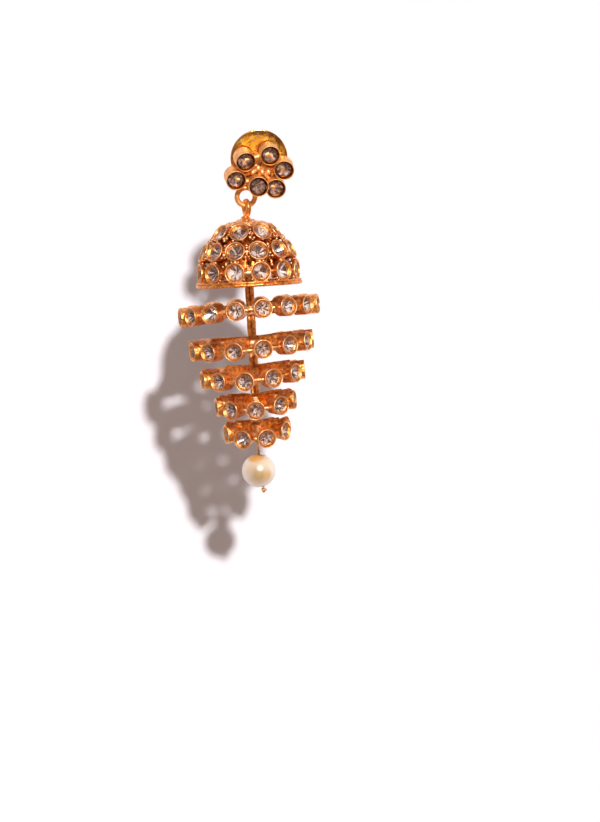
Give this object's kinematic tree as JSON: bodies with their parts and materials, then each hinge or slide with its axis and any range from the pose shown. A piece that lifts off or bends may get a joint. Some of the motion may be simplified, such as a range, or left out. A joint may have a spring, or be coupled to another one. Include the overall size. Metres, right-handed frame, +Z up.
{
  "type": "dome drop earring",
  "caption": "Gold-tone dome drop earring: stone flower stud on a post with clutch, openwork dome, stone-set tier rings on a stem, pearl drop.",
  "frame": {"origin": "root of the ear post on the back of the flower, where the ear holds the earring", "axes": "+Z up as it hangs, the flower faces -Y, +X to the viewer's right"},
  "size_m": [0.0255, 0.0255, 0.0648],
  "materials": {
    "rose_gold": "warm rose gold plating, polished, slightly uneven",
    "yellow_gold": "polished yellow gold plating",
    "pale_stone": "clear, faintly pink cut glass",
    "nacre": "cream pearl lustre"
  },
  "bodies": {
    "stud": {"stud_setting": "rose_gold", "petal_stone_1": "pale_stone", "petal_stone_2": "pale_stone", "petal_stone_3": "pale_stone", "petal_stone_4": "pale_stone", "petal_stone_5": "pale_stone", "petal_stone_6": "pale_stone"},
    "clutch": {"clutch": "yellow_gold"},
    "drop": {"dome": "rose_gold", "centre_stem": "rose_gold", "tier_ring_1": "rose_gold", "tier_ring_2": "rose_gold", "tier_ring_3": "rose_gold", "tier_ring_4": "rose_gold", "tier_ring_5": "rose_gold", "pearl_pin": "rose_gold", "pearl": "nacre"}
  },
  "joints": [
    {"name": "drop_swing", "type": "hinge", "parent": "stud", "child": "drop", "pos_m": [-0.00278, 0.00059, -0.00819], "axis": [0.9945, 0.1045, 0], "range_deg": [-60, 60]},
    {"name": "clutch_slide", "type": "slide", "parent": "stud", "child": "clutch", "axis": [-0.1022, 0.9728, 0.2079], "range_m": [0, 0.0112]}
  ]
}
